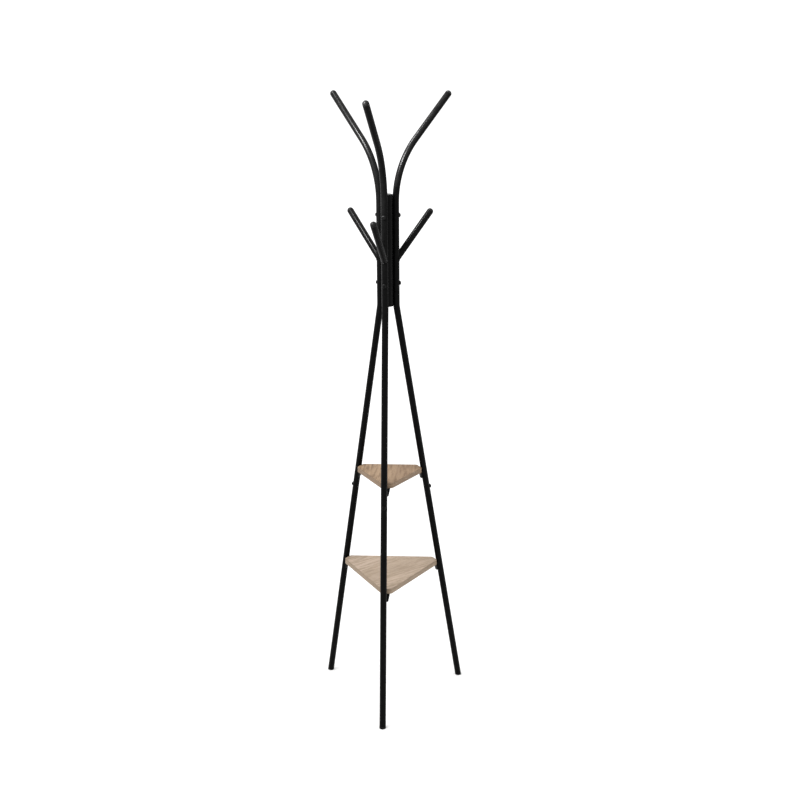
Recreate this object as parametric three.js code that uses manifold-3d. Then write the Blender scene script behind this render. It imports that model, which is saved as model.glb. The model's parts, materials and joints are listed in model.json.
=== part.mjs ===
// Three-legged hall tree: a centre post, three tubular uprights that bend outwards as coat hooks at the top and
// as legs below, a short peg on each upright, and two triangular wooden shelves bracketed between the legs.
// Millimetres, +Z up. The front foot points to -Y. The origin is on the floor, under the middle of the bounding
// box. Azimuths are seen from above: 0 is -Y, and they grow anticlockwise.
import * as THREE from "three";
import { mergeVertices } from "three/addons/utils/BufferGeometryUtils.js";
import Module from "manifold-3d";

// ---- driving dimensions ---------------------------------------------------------------------------------
const OVERALL_HEIGHT = 1800;
const GAP = 0.3; // clearance between pieces that touch or slide together

const TUBE_OUTER = 9.5; // radius of every upright, leg and peg
const TUBE_BORE = 8.2;
const STUB_OUTER = TUBE_BORE - GAP; // drawn-down end that plugs into the next tube
const STUB_BORE = 6.7;
const STUB_LENGTH = 45;
const STUB_ROOT = 6; // how far the drawn-down end reaches back into its own tube

const HUB_RADIUS = 27; // post axis to upright axis
const HUB_TURN = THREE.MathUtils.degToRad(-7); // the uprights and their bolts stand turned from the feet
const POST_OUTER = 17;
const POST_BORE = 15.5;
const POST_BOTTOM = 1213.5;
const POST_TOP = 1526;
const POST_CAP_RIM = 2.5; // thickness of the cap outside the post
const POST_CAP_DEPTH = 14;

const FOOT_SPREAD = 233.5; // post axis to where a leg's axis meets the floor
const LEG_BEND_HEIGHT = 1210.7; // where the upright's axis and the slanted leg's axis cross
const LEG_BEND_RADIUS = 60;
const HUB_JOINT_HEIGHT = 1252; // hook tube above, upper leg below
const LEG_JOINT_HEIGHT = 622; // upper leg above, lower leg below

const HOOK_BEND_START = 1504; // height where the hook starts to curve outwards
const HOOK_BEND_RADIUS = 242;
const HOOK_LEAN = THREE.MathUtils.degToRad(44.6); // straight end of the hook, from vertical
const PEG_BASE_HEIGHT = 1342.8;
const PEG_LEAN = THREE.MathUtils.degToRad(44.2);
const PEG_LENGTH = 172.6; // along the axis, from the upright's axis to the centre of the rounded tip
const TIP_SHANK = 14;

const UPPER_BOLT_HEIGHT = 1468;
const LOWER_BOLT_HEIGHT = 1275.5;
const LEG_BOLT_RISE = 25; // above the leg joint, along the leg
const BOLT_SHANK = 3;
const BOLT_HOLE = BOLT_SHANK + GAP;
const BOLT_HEAD = 6.2;
const BOLT_HEAD_HEIGHT = 4;
const BOLT_HEAD_EDGE = 0.6; // straight edge of the head below its dome
const HUB_BOLT_LENGTH = 26;
const LEG_BOLT_LENGTH = 13;
const INSERT_BODY = 4.4; // threaded insert, flush in the post wall
const INSERT_COLLAR = 6; // spread behind the wall to hold the insert
const INSERT_COLLAR_DEPTH = 2.8;
const INSERT_LENGTH = 8;
const INSERT_SEAT = POST_OUTER - 0.6; // post axis to the insert's outer face
const NUT_LENGTH = 13; // threaded plug inside the lower leg's drawn-down end

const FOOT_RIM = 5; // plastic foot below the end of the leg tube, along the leg
const FOOT_SHANK = 18;

const BOARD_THICKNESS = 15;
const EDGING_THICKNESS = 0.8;
const BOARD_CORNER_RADIUS = 9;
// From the post axis: corner is the distance to a shelf's sharp corner, cut to the face that takes it off.
const UPPER_SHELF = { top: 713.2, corner: 130, cut: 101.6 };
const LOWER_SHELF = { top: 406.7, corner: 179.5, cut: 153.9 };
const SHELF_TURN = THREE.MathUtils.degToRad(2.2); // both shelves and their brackets stand turned from the feet

const BRACKET_THICKNESS = 2;
const BRACKET_WIDTH = 20;
const BRACKET_TOE_WIDTH = 13; // width of the welded flange at its lower end
const BRACKET_TOE_RADIUS = 3;
const BRACKET_DROP = 22; // welded flange below the shelf, along the leg
const BRACKET_REACH = 27; // flange under the shelf, measured from the leg side of the shelf's corner
const SCREW_INSET = 15; // screw axis to the shelf's corner face
const SCREW_SHANK = 1.8;
const SCREW_HEAD = 4;
const SCREW_HEAD_HEIGHT = 2.2;
const SCREW_DEPTH = 11; // shank inside the board

const ROUND = 16; // flats round a tube
const POST_ROUND = 20;
const SMALL_ROUND = 10; // flats round a bolt, screw or insert

// Each foot has its azimuth about the post; each hook and peg has a turn of its own about its upright.
const SPOKES = [
  { side: "front", azimuth: THREE.MathUtils.degToRad(0), armTurn: THREE.MathUtils.degToRad(-1.2) },
  { side: "left", azimuth: THREE.MathUtils.degToRad(-120), armTurn: THREE.MathUtils.degToRad(-3.5) },
  { side: "right", azimuth: THREE.MathUtils.degToRad(120), armTurn: THREE.MathUtils.degToRad(19) },
];

// ---- derived sizes --------------------------------------------------------------------------------------
const CENTRE = new THREE.Vector2();
const towards = (azimuth, length) => new THREE.Vector2(0, -length).rotateAround(CENTRE, azimuth);

// Plan of one spoke: the upright stands beside the line from the post to the foot, so the leg runs askew to it.
const UPRIGHT = towards(HUB_TURN, HUB_RADIUS);
const LEG_RUN = towards(0, FOOT_SPREAD).sub(UPRIGHT);
const LEG_REACH = LEG_RUN.length();
const LEG_TURN = Math.atan2(LEG_RUN.x, -LEG_RUN.y);
const LEG_LEAN = Math.atan2(LEG_REACH, LEG_BEND_HEIGHT);
const legAt = (height) => UPRIGHT.clone().addScaledVector(LEG_RUN, 1 - height / LEG_BEND_HEIGHT);

const LEG_JOINT_ALONG = LEG_JOINT_HEIGHT / Math.cos(LEG_LEAN); // distances along a leg start at the floor
const LEG_BOLT_ALONG = LEG_JOINT_ALONG + LEG_BOLT_RISE;
const TIP_HEIGHT = OVERALL_HEIGHT - TUBE_OUTER;
const HOOK_BEND_END = HOOK_BEND_START + HOOK_BEND_RADIUS * Math.sin(HOOK_LEAN);

// ---- materials ------------------------------------------------------------------------------------------
const standard = (color, roughness, metalness) =>
  new THREE.MeshStandardMaterial({ color, roughness, metalness });
const powderCoat = () => standard(0x161616, 0.42, 0.35);
const blackPlastic = () => standard(0x101010, 0.5, 0);
const boltBlack = () => standard(0x1c1c1c, 0.35, 0.7);
const steel = () => standard(0x8d8f92, 0.35, 0.9);
const upperOak = () => standard(0xa88a6c, 0.6, 0);
const lowerOak = () => standard(0xbfa58b, 0.6, 0);
const edgingOak = () => standard(0x9c8464, 0.6, 0);

// ---- booleans -------------------------------------------------------------------------------------------
const wasm = await Module();
wasm.setup();

/** The closed solid that a three.js geometry bounds. */
function solidOf(geometry) {
  const bare = new THREE.BufferGeometry();
  bare.setAttribute("position", geometry.getAttribute("position"));
  bare.setIndex(geometry.getIndex());
  const merged = mergeVertices(bare, 1e-3);
  return new wasm.Manifold(
    new wasm.Mesh({
      numProp: 3,
      vertProperties: merged.attributes.position.array,
      triVerts: new Uint32Array(merged.index.array),
    }),
  );
}

/** A flat-shaded three.js geometry of a solid's surface. */
function geometryOf(solid) {
  const { vertProperties, triVerts } = solid.getMesh();
  const indexed = new THREE.BufferGeometry();
  indexed.setAttribute("position", new THREE.BufferAttribute(Float32Array.from(vertProperties), 3));
  indexed.setIndex(Array.from(triVerts));
  const flat = indexed.toNonIndexed();
  flat.computeVertexNormals();
  return flat;
}

const join = (...shapes) => geometryOf(shapes.map(solidOf).reduce((whole, next) => whole.add(next)));
const cut = (shape, ...tools) =>
  geometryOf(tools.map(solidOf).reduce((rest, tool) => rest.subtract(tool), solidOf(shape)));

// ---- basic shapes ---------------------------------------------------------------------------------------
/** A ring-shaped section, or a disc where the bore is 0. */
function roundSection(outer, bore) {
  const section = new THREE.Shape().absarc(0, 0, outer, 0, 2 * Math.PI, false);
  if (bore > 0) {
    section.holes.push(new THREE.Path().absarc(0, 0, bore, 0, 2 * Math.PI, true));
  }
  return section;
}

/** A straight round bar or tube that stands on height 0, along +Z. */
function straightRound(outer, bore, length, flats = ROUND) {
  return new THREE.ExtrudeGeometry(roundSection(outer, bore), {
    depth: length,
    bevelEnabled: false,
    curveSegments: flats / 2,
  });
}

/** A centreline that takes one step along each straight run and several round each bend. */
class SteppedPath extends THREE.Curve {
  constructor(stations) {
    super();
    this.stations = stations; // [{ point, tangent }]
  }

  between(t, key) {
    const place = t * (this.stations.length - 1);
    const first = Math.min(Math.floor(place), this.stations.length - 2);
    return this.stations[first][key].clone().lerp(this.stations[first + 1][key], place - first);
  }

  getPoint(t) {
    return this.between(t, "point");
  }

  getTangent(t) {
    return this.between(t, "tangent").normalize();
  }

  getUtoTmapping(u) {
    return u;
  }
}

/** Stations in the YZ plane of a path that starts at a point, with its lean from vertical towards -Y. */
function bentStations(start, startLean, endLean, firstRun, bendRadius, lastRun, bendSteps, down = false) {
  const way = down ? -1 : 1;
  const heading = (lean) => new THREE.Vector3(0, -Math.sin(lean), way * Math.cos(lean));
  const stations = [{ point: start.clone(), tangent: heading(startLean) }];
  const bendStart = start.clone().addScaledVector(heading(startLean), firstRun);
  const turn = endLean - startLean;
  for (let i = 0; i <= bendSteps; i++) {
    const lean = startLean + (turn * i) / bendSteps;
    const sideways = (Math.cos(startLean) - Math.cos(lean)) * bendRadius;
    const along = (Math.sin(lean) - Math.sin(startLean)) * bendRadius;
    const point = bendStart.clone().add(new THREE.Vector3(0, -sideways, way * along));
    stations.push({ point, tangent: heading(lean) });
  }
  const end = stations.at(-1).point.clone().addScaledVector(heading(endLean), lastRun);
  stations.push({ point: end, tangent: heading(endLean) });
  return stations;
}

function bentTube(stations) {
  return new THREE.ExtrudeGeometry(roundSection(TUBE_OUTER, TUBE_BORE), {
    steps: stations.length - 1,
    extrudePath: new SteppedPath(stations),
    curveSegments: ROUND / 2,
  });
}

/** A turned solid about +Z from [radius, height] points; the profile closes on itself or lies on the axis. */
function turned(profile, flats = SMALL_ROUND) {
  return new THREE.LatheGeometry(
    profile.map(([radius, height]) => new THREE.Vector2(radius, height)),
    flats,
  ).rotateX(Math.PI / 2);
}

/** A drawn-down tube end that stands on height 0, with its root reaching back into the wall of its own tube. */
function drawnEnd() {
  const insideWall = (TUBE_OUTER + TUBE_BORE) / 2;
  const profile = [
    [STUB_BORE, -STUB_ROOT],
    [insideWall, -STUB_ROOT],
    [insideWall, -1],
    [STUB_OUTER, 0],
    [STUB_OUTER, STUB_LENGTH - 2],
    [STUB_OUTER - 0.6, STUB_LENGTH],
    [STUB_BORE, STUB_LENGTH],
    [STUB_BORE, -STUB_ROOT],
  ];
  return turned(profile, ROUND);
}

/** A round bar that runs along -Y at a given height, between two distances from the Z axis. */
function crossBar(radius, height, from, to) {
  return straightRound(radius, 0, to - from, SMALL_ROUND)
    .rotateX(Math.PI / 2)
    .translate(0, -from, height);
}

/** Rounded points of a dome's profile, from its rim to the axis. */
function domeProfile(radius, rise, base, steps) {
  const points = [];
  for (let i = 0; i <= steps; i++) {
    const angle = (Math.PI / 2) * (i / steps);
    points.push([i === steps ? 0 : radius * Math.cos(angle), base + rise * Math.sin(angle)]);
  }
  return points;
}

// ---- scene helpers --------------------------------------------------------------------------------------
function place(parent, name, geometry, material, position = [0, 0, 0], rotation = [0, 0, 0]) {
  const mesh = new THREE.Mesh(geometry, material);
  mesh.name = name;
  mesh.position.set(...position);
  mesh.rotation.set(...rotation);
  parent.add(mesh);
  return mesh;
}

function frameAt(parent, position = [0, 0, 0], rotation = [0, 0, 0]) {
  const frame = new THREE.Group();
  frame.position.set(...position);
  frame.rotation.set(...rotation);
  parent.add(frame);
  return frame;
}

// ---- centre post ----------------------------------------------------------------------------------------
/** The post tube, drilled for the six threaded inserts. */
function centrePost() {
  const length = POST_TOP - POST_BOTTOM;
  const wall = straightRound(POST_OUTER, POST_BORE, length, POST_ROUND).translate(0, 0, POST_BOTTOM);
  const holes = SPOKES.flatMap(({ azimuth }) =>
    [UPPER_BOLT_HEIGHT, LOWER_BOLT_HEIGHT].map((height) =>
      crossBar(INSERT_BODY + GAP, height, POST_BORE / 2, POST_OUTER + 2).rotateZ(azimuth + HUB_TURN),
    ),
  );
  return cut(wall, ...holes);
}

/** A plastic cap for an end of the post: a slightly crowned rim on a hollow plug. */
function postCap() {
  const plug = POST_BORE - GAP;
  return turned(
    [
      [0, GAP],
      [plug - 2, GAP],
      [plug - 2, -POST_CAP_DEPTH],
      [plug, -POST_CAP_DEPTH],
      [plug, GAP],
      [POST_OUTER, GAP],
      [POST_OUTER, POST_CAP_RIM - 1],
      [POST_OUTER - 1, POST_CAP_RIM - 0.3],
      [0, POST_CAP_RIM],
    ],
    POST_ROUND,
  );
}

// ---- fasteners ------------------------------------------------------------------------------------------
const OUTWARDS = [Math.PI / 2, 0, 0]; // turns +Z to -Y

/** A button-head bolt along +Z: head above height 0, shank below. */
function buttonBolt(shankLength) {
  return turned([
    [0, -shankLength],
    [BOLT_SHANK - 0.6, -shankLength],
    [BOLT_SHANK, -shankLength + 1],
    [BOLT_SHANK, 0],
    [BOLT_HEAD - 0.3, 0],
    ...domeProfile(BOLT_HEAD, BOLT_HEAD_HEIGHT - BOLT_HEAD_EDGE, BOLT_HEAD_EDGE, 3),
  ]);
}

/** A threaded insert below height 0, along +Z: its collar is spread behind the post wall. */
function threadedInsert() {
  const collarEnd = INSERT_COLLAR_DEPTH + (INSERT_COLLAR - INSERT_BODY);
  return turned([
    [BOLT_HOLE, -INSERT_LENGTH],
    [INSERT_BODY, -INSERT_LENGTH],
    [INSERT_BODY, -collarEnd],
    [INSERT_COLLAR, -INSERT_COLLAR_DEPTH - 0.8],
    [INSERT_COLLAR, -INSERT_COLLAR_DEPTH],
    [INSERT_BODY, -INSERT_COLLAR_DEPTH],
    [INSERT_BODY, 0],
    [BOLT_HOLE, 0],
    [BOLT_HOLE, -INSERT_LENGTH],
  ]);
}

/** A pan-head wood screw along +Z: head below height 0, pointed shank above. */
function shelfScrew() {
  const insideBracket = BRACKET_THICKNESS + 2 * GAP;
  return turned([
    ...domeProfile(SCREW_HEAD, -SCREW_HEAD_HEIGHT + 0.5, -0.5, 3).reverse(),
    [SCREW_HEAD, 0],
    [SCREW_SHANK, 0],
    [SCREW_SHANK, insideBracket + SCREW_DEPTH - 2.5],
    [0, insideBracket + SCREW_DEPTH],
  ]);
}

// ---- arm: hook tube and peg -----------------------------------------------------------------------------
/** The bent hook tube about the upright's axis, drilled for its two bolts. */
function hookTube(armTurn) {
  const bottom = HUB_JOINT_HEIGHT + GAP;
  const start = new THREE.Vector3(0, 0, bottom);
  const firstRun = HOOK_BEND_START - bottom;
  const lastRun = (TIP_HEIGHT - HOOK_BEND_END) / Math.cos(HOOK_LEAN) - GAP;
  const stations = bentStations(start, 0, HOOK_LEAN, firstRun, HOOK_BEND_RADIUS, lastRun, 9);
  const drills = [UPPER_BOLT_HEIGHT, LOWER_BOLT_HEIGHT].map((height) =>
    crossBar(BOLT_HOLE, height, -TUBE_OUTER - 1, TUBE_OUTER + 1).rotateZ(-armTurn),
  );
  return cut(bentTube(stations), ...drills);
}

/** Distance of the hook's rounded tip from the upright's axis. */
function hookReach() {
  return HOOK_BEND_RADIUS * (1 - Math.cos(HOOK_LEAN)) + (TIP_HEIGHT - HOOK_BEND_END) * Math.tan(HOOK_LEAN);
}

/** The peg, coped where it is welded to the upright; local +Z is the upright's axis. */
function peg() {
  const bar = straightRound(TUBE_OUTER, TUBE_BORE, PEG_LENGTH - GAP).rotateX(PEG_LEAN);
  const upright = straightRound(TUBE_OUTER + GAP, 0, 8 * TUBE_OUTER).translate(0, 0, -4 * TUBE_OUTER);
  return cut(bar, upright).translate(0, 0, PEG_BASE_HEIGHT);
}

/** A rounded plug for a tube's free end, along +Z, with the tube's end at height 0. */
function roundedTip() {
  const shank = TUBE_BORE - GAP;
  const dome = domeProfile(TUBE_OUTER, TUBE_OUTER, 0, 4);
  return turned([[0, -TIP_SHANK], [shank, -TIP_SHANK], [shank, 0], ...dome], ROUND);
}

/** The hook and the peg of one upright, in the hub's frame. */
function addArm(hub, { side, armTurn }) {
  const arm = frameAt(hub, [0, -HUB_RADIUS, 0], [0, 0, armTurn]);
  const hookTip = [0, -hookReach(), TIP_HEIGHT];
  const pegTip = [0, -PEG_LENGTH * Math.sin(PEG_LEAN), PEG_BASE_HEIGHT + PEG_LENGTH * Math.cos(PEG_LEAN)];
  place(arm, `hook_tube_${side}`, hookTube(armTurn), powderCoat());
  place(arm, `hook_tip_${side}`, roundedTip(), blackPlastic(), hookTip, [HOOK_LEAN, 0, 0]);
  place(arm, `peg_${side}`, peg(), powderCoat());
  place(arm, `peg_tip_${side}`, roundedTip(), blackPlastic(), pegTip, [PEG_LEAN, 0, 0]);
}

// ---- legs -----------------------------------------------------------------------------------------------
/** The upper leg about the upright's axis: a drawn-down top, the bend, and the slanted run to the joint. */
function upperLeg() {
  const tangentLength = LEG_BEND_RADIUS * Math.tan(LEG_LEAN / 2);
  const start = new THREE.Vector3(0, 0, HUB_JOINT_HEIGHT);
  const firstRun = HUB_JOINT_HEIGHT - LEG_BEND_HEIGHT - tangentLength;
  const lastRun = (LEG_BEND_HEIGHT - LEG_JOINT_HEIGHT) / Math.cos(LEG_LEAN) - tangentLength - GAP;
  const stations = bentStations(start, 0, LEG_LEAN, firstRun, LEG_BEND_RADIUS, lastRun, 2, true);
  const top = drawnEnd().translate(0, 0, HUB_JOINT_HEIGHT);
  const hubDrill = crossBar(BOLT_HOLE, LOWER_BOLT_HEIGHT, -TUBE_OUTER, TUBE_OUTER).rotateZ(HUB_TURN - LEG_TURN);
  const legDrill = crossBar(BOLT_HOLE, LEG_BOLT_ALONG, 0, TUBE_OUTER + 1)
    .rotateX(-LEG_LEAN)
    .translate(0, -LEG_REACH, 0);
  return cut(join(bentTube(stations), top), hubDrill, legDrill);
}

/** The lower leg along +Z from the floor, with its drawn-down top drilled for the leg bolt. */
function lowerLeg() {
  const tube = straightRound(TUBE_OUTER, TUBE_BORE, LEG_JOINT_ALONG - FOOT_RIM).translate(0, 0, FOOT_RIM);
  const top = drawnEnd().translate(0, 0, LEG_JOINT_ALONG);
  return cut(join(tube, top), crossBar(BOLT_HOLE, LEG_BOLT_ALONG, 0, TUBE_OUTER));
}

/** The threaded plug that the leg bolt screws into. */
function legNut() {
  const plug = straightRound(STUB_BORE - GAP, 0, NUT_LENGTH).translate(0, 0, LEG_BOLT_ALONG - NUT_LENGTH / 2);
  return cut(plug, crossBar(BOLT_HOLE, LEG_BOLT_ALONG, -STUB_BORE, STUB_BORE));
}

/** The plastic foot along the leg, cut level with the floor. */
function foot() {
  const rim = straightRound(TUBE_OUTER, 0, 2 * FOOT_RIM - GAP).translate(0, 0, -FOOT_RIM);
  const shank = straightRound(TUBE_BORE - GAP, 0, FOOT_SHANK).translate(0, 0, FOOT_RIM - 1);
  const floorBlock = straightRound(4 * TUBE_OUTER, 0, 4 * FOOT_RIM).translate(0, 0, -4 * FOOT_RIM);
  return cut(join(rim, shank), floorBlock.rotateX(LEG_LEAN));
}

function addLeg(spoke, side) {
  const leg = frameAt(spoke, [UPRIGHT.x, UPRIGHT.y, 0], [0, 0, LEG_TURN]);
  place(leg, `upper_leg_${side}`, upperLeg(), powderCoat());
  const slanted = frameAt(leg, [0, -LEG_REACH, 0], [-LEG_LEAN, 0, 0]);
  const headSeat = [0, -TUBE_OUTER - GAP, LEG_BOLT_ALONG];
  place(slanted, `lower_leg_${side}`, lowerLeg(), powderCoat());
  place(slanted, `foot_${side}`, foot(), blackPlastic());
  place(slanted, `leg_nut_${side}`, legNut(), steel());
  place(slanted, `leg_bolt_${side}`, buttonBolt(LEG_BOLT_LENGTH), boltBlack(), headSeat, OUTWARDS);
}

function addHubFasteners(hub, side) {
  for (const [level, height] of [["upper", UPPER_BOLT_HEIGHT], ["lower", LOWER_BOLT_HEIGHT]]) {
    const headSeat = [0, -HUB_RADIUS - TUBE_OUTER - GAP, height];
    const insertSeat = [0, -INSERT_SEAT, height];
    place(hub, `hub_bolt_${level}_${side}`, buttonBolt(HUB_BOLT_LENGTH), boltBlack(), headSeat, OUTWARDS);
    place(hub, `hub_insert_${level}_${side}`, threadedInsert(), steel(), insertSeat, OUTWARDS);
  }
}

// ---- shelves --------------------------------------------------------------------------------------------
/** A triangle with cut and rounded corners, moved inwards by a margin. */
function shelfOutline({ corner, cut: cutFace }, margin) {
  const tip = corner - 2 * margin;
  const face = cutFace - margin;
  const halfFace = (tip - face) * Math.tan(Math.PI / 6);
  const points = SPOKES.toSorted((a, b) => a.azimuth - b.azimuth).flatMap(({ azimuth }) =>
    [-halfFace, halfFace].map((sideways) => new THREE.Vector2(sideways, -face).rotateAround(CENTRE, azimuth)),
  );
  const radius = BOARD_CORNER_RADIUS - margin;
  const outline = new THREE.Shape();
  points.forEach((point, i) => {
    const before = points.at(i - 1);
    const after = points[(i + 1) % points.length];
    const reach = radius * Math.tan(Math.PI / 6);
    const arrive = point.clone().add(before.clone().sub(point).setLength(reach));
    const leave = point.clone().add(after.clone().sub(point).setLength(reach));
    if (i === 0) {
      outline.moveTo(arrive.x, arrive.y);
    } else {
      outline.lineTo(arrive.x, arrive.y);
    }
    outline.quadraticCurveTo(point.x, point.y, leave.x, leave.y);
  });
  outline.closePath();
  return outline;
}

function slab(outline, thickness, top) {
  const sheet = new THREE.ExtrudeGeometry(outline, { depth: thickness, bevelEnabled: false, curveSegments: 3 });
  return sheet.translate(0, 0, top - thickness);
}

/** The board, with three pilot holes in its underside. */
function board(shelf) {
  const bottom = shelf.top - BOARD_THICKNESS;
  const pilots = SPOKES.map(({ azimuth }) =>
    straightRound(SCREW_SHANK + GAP, 0, SCREW_DEPTH + 2, SMALL_ROUND)
      .translate(0, SCREW_INSET - shelf.cut, bottom - 1)
      .rotateZ(azimuth),
  );
  return cut(slab(shelfOutline(shelf, EDGING_THICKNESS + 0.1), BOARD_THICKNESS, shelf.top), ...pilots);
}

/** The veneer strip round the board's edge. */
function edging(shelf) {
  const outline = shelfOutline(shelf, 0);
  outline.holes.push(new THREE.Path(shelfOutline(shelf, EDGING_THICKNESS).getPoints(3).reverse()));
  return slab(outline, BOARD_THICKNESS, shelf.top);
}

/** An angle bracket: a flange under the shelf's corner, and a tapered flange on the inner side of the leg. */
function bracket(shelf) {
  const top = shelf.top - BOARD_THICKNESS - GAP;
  const halfWidth = BRACKET_WIDTH / 2;
  const halfToe = BRACKET_TOE_WIDTH / 2;
  const bendRadius = legAt(top).dot(towards(SHELF_TURN, 1)) - (TUBE_OUTER + GAP) / Math.cos(LEG_LEAN);
  const roundEnd = bendRadius - shelf.cut + BRACKET_REACH - halfWidth;
  const sheet = { depth: BRACKET_THICKNESS, bevelEnabled: false, curveSegments: 4 };

  const shelfFlange = new THREE.Shape()
    .moveTo(-halfWidth, 0)
    .lineTo(halfWidth, 0)
    .lineTo(halfWidth, roundEnd)
    .absarc(0, roundEnd, halfWidth, 0, Math.PI, false)
    .closePath();
  const flatFlange = new THREE.ExtrudeGeometry(shelfFlange, sheet);
  flatFlange.translate(0, -bendRadius, top - BRACKET_THICKNESS);
  const screwHole = straightRound(SCREW_SHANK + 2 * GAP, 0, 2 * BRACKET_THICKNESS, SMALL_ROUND);
  screwHole.translate(0, SCREW_INSET - shelf.cut, top - 1.5 * BRACKET_THICKNESS);

  const legFlange = new THREE.Shape()
    .moveTo(-halfWidth, 0)
    .lineTo(-halfToe, BRACKET_TOE_RADIUS - BRACKET_DROP)
    .quadraticCurveTo(-halfToe, -BRACKET_DROP, BRACKET_TOE_RADIUS - halfToe, -BRACKET_DROP)
    .lineTo(halfToe - BRACKET_TOE_RADIUS, -BRACKET_DROP)
    .quadraticCurveTo(halfToe, -BRACKET_DROP, halfToe, BRACKET_TOE_RADIUS - BRACKET_DROP)
    .lineTo(halfWidth, 0)
    .closePath();
  const weldedFlange = new THREE.ExtrudeGeometry(legFlange, sheet)
    .rotateX(Math.PI / 2)
    .translate(0, BRACKET_THICKNESS, 0)
    .rotateX(-LEG_LEAN)
    .translate(0, -bendRadius, top);
  return cut(join(flatFlange, weldedFlange), screwHole);
}

function addShelfFixings(spoke, side, level, shelf) {
  const corner = frameAt(spoke, [0, 0, 0], [0, 0, SHELF_TURN]);
  const headSeat = [0, SCREW_INSET - shelf.cut, shelf.top - BOARD_THICKNESS - BRACKET_THICKNESS - 2 * GAP];
  place(corner, `${level}_bracket_${side}`, bracket(shelf), powderCoat());
  place(corner, `${level}_shelf_screw_${side}`, shelfScrew(), boltBlack(), headSeat);
}

function addShelf(parent, level, shelf, face) {
  const seat = frameAt(parent, [0, 0, 0], [0, 0, SHELF_TURN]);
  place(seat, `${level}_shelf`, board(shelf), face);
  place(seat, `${level}_shelf_edging`, edging(shelf), edgingOak());
}

// ---- assembly -------------------------------------------------------------------------------------------
const tree = new THREE.Group();
place(tree, "centre_post", centrePost(), powderCoat());
place(tree, "post_cap_top", postCap(), blackPlastic(), [0, 0, POST_TOP]);
place(tree, "post_cap_bottom", postCap(), blackPlastic(), [0, 0, POST_BOTTOM], [Math.PI, 0, 0]);
addShelf(tree, "upper", UPPER_SHELF, upperOak());
addShelf(tree, "lower", LOWER_SHELF, lowerOak());
for (const spokeSpec of SPOKES) {
  const { side, azimuth } = spokeSpec;
  const spoke = frameAt(tree, [0, 0, 0], [0, 0, azimuth]);
  const hub = frameAt(spoke, [0, 0, 0], [0, 0, HUB_TURN]);
  addArm(hub, spokeSpec);
  addHubFasteners(hub, side);
  addLeg(spoke, side);
  addShelfFixings(spoke, side, "upper", UPPER_SHELF);
  addShelfFixings(spoke, side, "lower", LOWER_SHELF);
}

// The post's axis moves back so that the origin lies under the middle of the bounding box.
tree.updateMatrixWorld(true);
const bounds = new THREE.Box3().setFromObject(tree, true);
const middle = bounds.getCenter(new THREE.Vector3());
tree.position.set(-middle.x, -middle.y, 0);

export default tree;
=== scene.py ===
import json
import math

import bmesh
import bpy
from mathutils import Matrix, Vector


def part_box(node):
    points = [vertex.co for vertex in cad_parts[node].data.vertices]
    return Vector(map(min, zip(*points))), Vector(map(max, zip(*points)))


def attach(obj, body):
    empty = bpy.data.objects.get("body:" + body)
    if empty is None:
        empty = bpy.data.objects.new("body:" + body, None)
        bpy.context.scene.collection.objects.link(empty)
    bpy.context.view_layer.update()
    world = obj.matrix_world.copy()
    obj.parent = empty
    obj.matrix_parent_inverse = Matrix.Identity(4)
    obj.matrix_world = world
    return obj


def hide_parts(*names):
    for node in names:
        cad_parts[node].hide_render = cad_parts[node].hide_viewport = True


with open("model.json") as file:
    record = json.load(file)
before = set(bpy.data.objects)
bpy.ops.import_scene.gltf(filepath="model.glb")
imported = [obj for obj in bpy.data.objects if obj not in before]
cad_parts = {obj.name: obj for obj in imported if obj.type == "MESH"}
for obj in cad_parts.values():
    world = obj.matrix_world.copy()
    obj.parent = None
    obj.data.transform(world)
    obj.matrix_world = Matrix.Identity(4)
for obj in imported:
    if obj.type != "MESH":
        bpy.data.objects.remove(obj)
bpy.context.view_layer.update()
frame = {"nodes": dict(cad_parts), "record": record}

UP = Vector((0, 0, 1))

# ---- sizes, in metres ----------------------------------------------------------------------------
TUBE = 0.0095  # radius of the uprights, legs and pegs
BORE = 0.0082
STUB = 0.0079  # drawn-down end that plugs into the next tube
STUB_BORE = 0.0067
STUB_LENGTH = 0.045
STUB_ROOT = 0.006
HUB_RADIUS = 0.027  # post axis to upright axis
POST = 0.017
POST_BORE = 0.0155
CAP_RIM = 0.0025
CAP_DEPTH = 0.014
CAP_WALL = 0.002
LEG_BEND_RADIUS = 0.060
HOOK_BEND_START = 1.504
HOOK_BEND_RADIUS = 0.242
HOOK_LEAN = math.radians(44.6)
PEG_BASE_HEIGHT = 1.3428
PEG_LEAN = math.radians(44.2)
PEG_LENGTH = 0.1726
PLUG_SHANK = 0.014
LEG_BOLT_RISE = 0.025  # above the leg joint, along the leg
FOOT_RIM = 0.005
FOOT_SHANK = 0.018

BOLT_SHANK = 0.003
BOLT_HEAD = 0.0062
BOLT_HEAD_HEIGHT = 0.004
BOLT_FLAT = 0.0027  # radius of the flat round the socket
BOLT_SOCKET = 0.002  # half of the socket's width across flats
SOCKET_DEPTH = 0.0025
HUB_BOLT_LENGTH = 0.026
LEG_BOLT_LENGTH = 0.013
INSERT_BORE = 0.0033
INSERT_BODY = 0.0044
INSERT_COLLAR = 0.006
INSERT_COLLAR_DEPTH = 0.0028
INSERT_LENGTH = 0.008
INSERT_SEAT = 0.0164  # post axis to the insert's outer face
SCREW_SHANK = 0.0018
SCREW_HEAD = 0.004
SCREW_HEAD_HEIGHT = 0.0022
SCREW_FLAT = 0.0026  # radius of the flat round the cross recess
SCREW_POINT = 0.0025
SCREW_LENGTH = 0.0135
SCREW_INSET = 0.015  # screw axis to the shelf's corner face

EDGING = 0.0008
BOARD_CORNER = 0.009
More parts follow.
